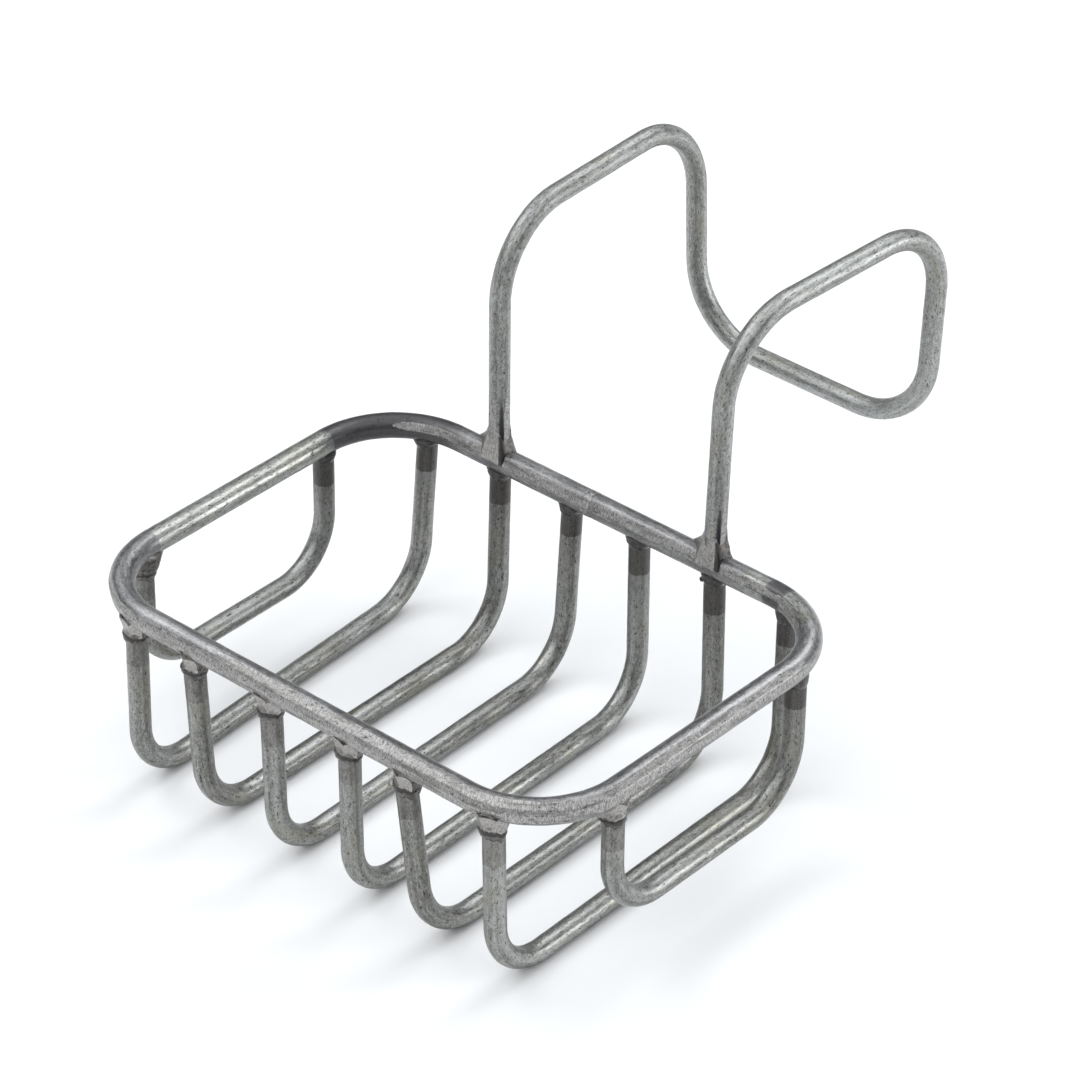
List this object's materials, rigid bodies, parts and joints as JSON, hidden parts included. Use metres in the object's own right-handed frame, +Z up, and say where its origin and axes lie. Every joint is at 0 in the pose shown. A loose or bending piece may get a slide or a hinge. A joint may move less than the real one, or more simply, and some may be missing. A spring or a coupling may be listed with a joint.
{
  "type": "over-the-rim wire basket",
  "caption": "Small hand-welded basket of bent steel rod with a rounded rim, rod ribs and a saddle hanger that hooks over an edge.",
  "frame": {"origin": "middle of the whole object's footprint, on the surface it stands on", "axes": "+Z up, +X along the basket's long side, +Y towards the hanger at the back"},
  "size_m": [0.144, 0.177, 0.1118],
  "materials": {
    "rib_rod_steel": "galvanised steel rod, mottled and streaked grey, with bare, heat-darkened ends",
    "hanger_rod_steel": "galvanised steel rod with fine pits, filed bright above its feet",
    "ground_rim_steel": "galvanised steel rod, its zinc mostly ground off by hand",
    "weld_steel": "weld metal ground on its outer side, dark and glassy in the corners"
  },
  "bodies": {
    "root": {"hanger": "hanger_rod_steel", "hanger_left_foot_weld": "weld_steel", "hanger_right_foot_weld": "weld_steel", "left_end_rib": "rib_rod_steel", "left_end_rib_back_weld": "weld_steel", "left_end_rib_front_weld": "weld_steel", "rib_1": "rib_rod_steel", "rib_1_back_weld": "weld_steel", "rib_1_front_weld": "weld_steel", "rib_2": "rib_rod_steel", "rib_2_back_weld": "weld_steel", "rib_2_front_weld": "weld_steel", "rib_3": "rib_rod_steel", "rib_3_back_weld": "weld_steel", "rib_3_front_weld": "weld_steel", "rib_4": "rib_rod_steel", "rib_4_back_weld": "weld_steel", "rib_4_front_weld": "weld_steel", "rib_5": "rib_rod_steel", "rib_5_back_weld": "weld_steel", "rib_5_front_weld": "weld_steel", "rib_6": "rib_rod_steel", "rib_6_back_weld": "weld_steel", "rib_6_front_weld": "weld_steel", "right_end_rib": "rib_rod_steel", "right_end_rib_back_weld": "weld_steel", "right_end_rib_front_weld": "weld_steel", "rim_butt_weld": "weld_steel", "rim_hoop": "ground_rim_steel"}
  },
  "joints": []
}
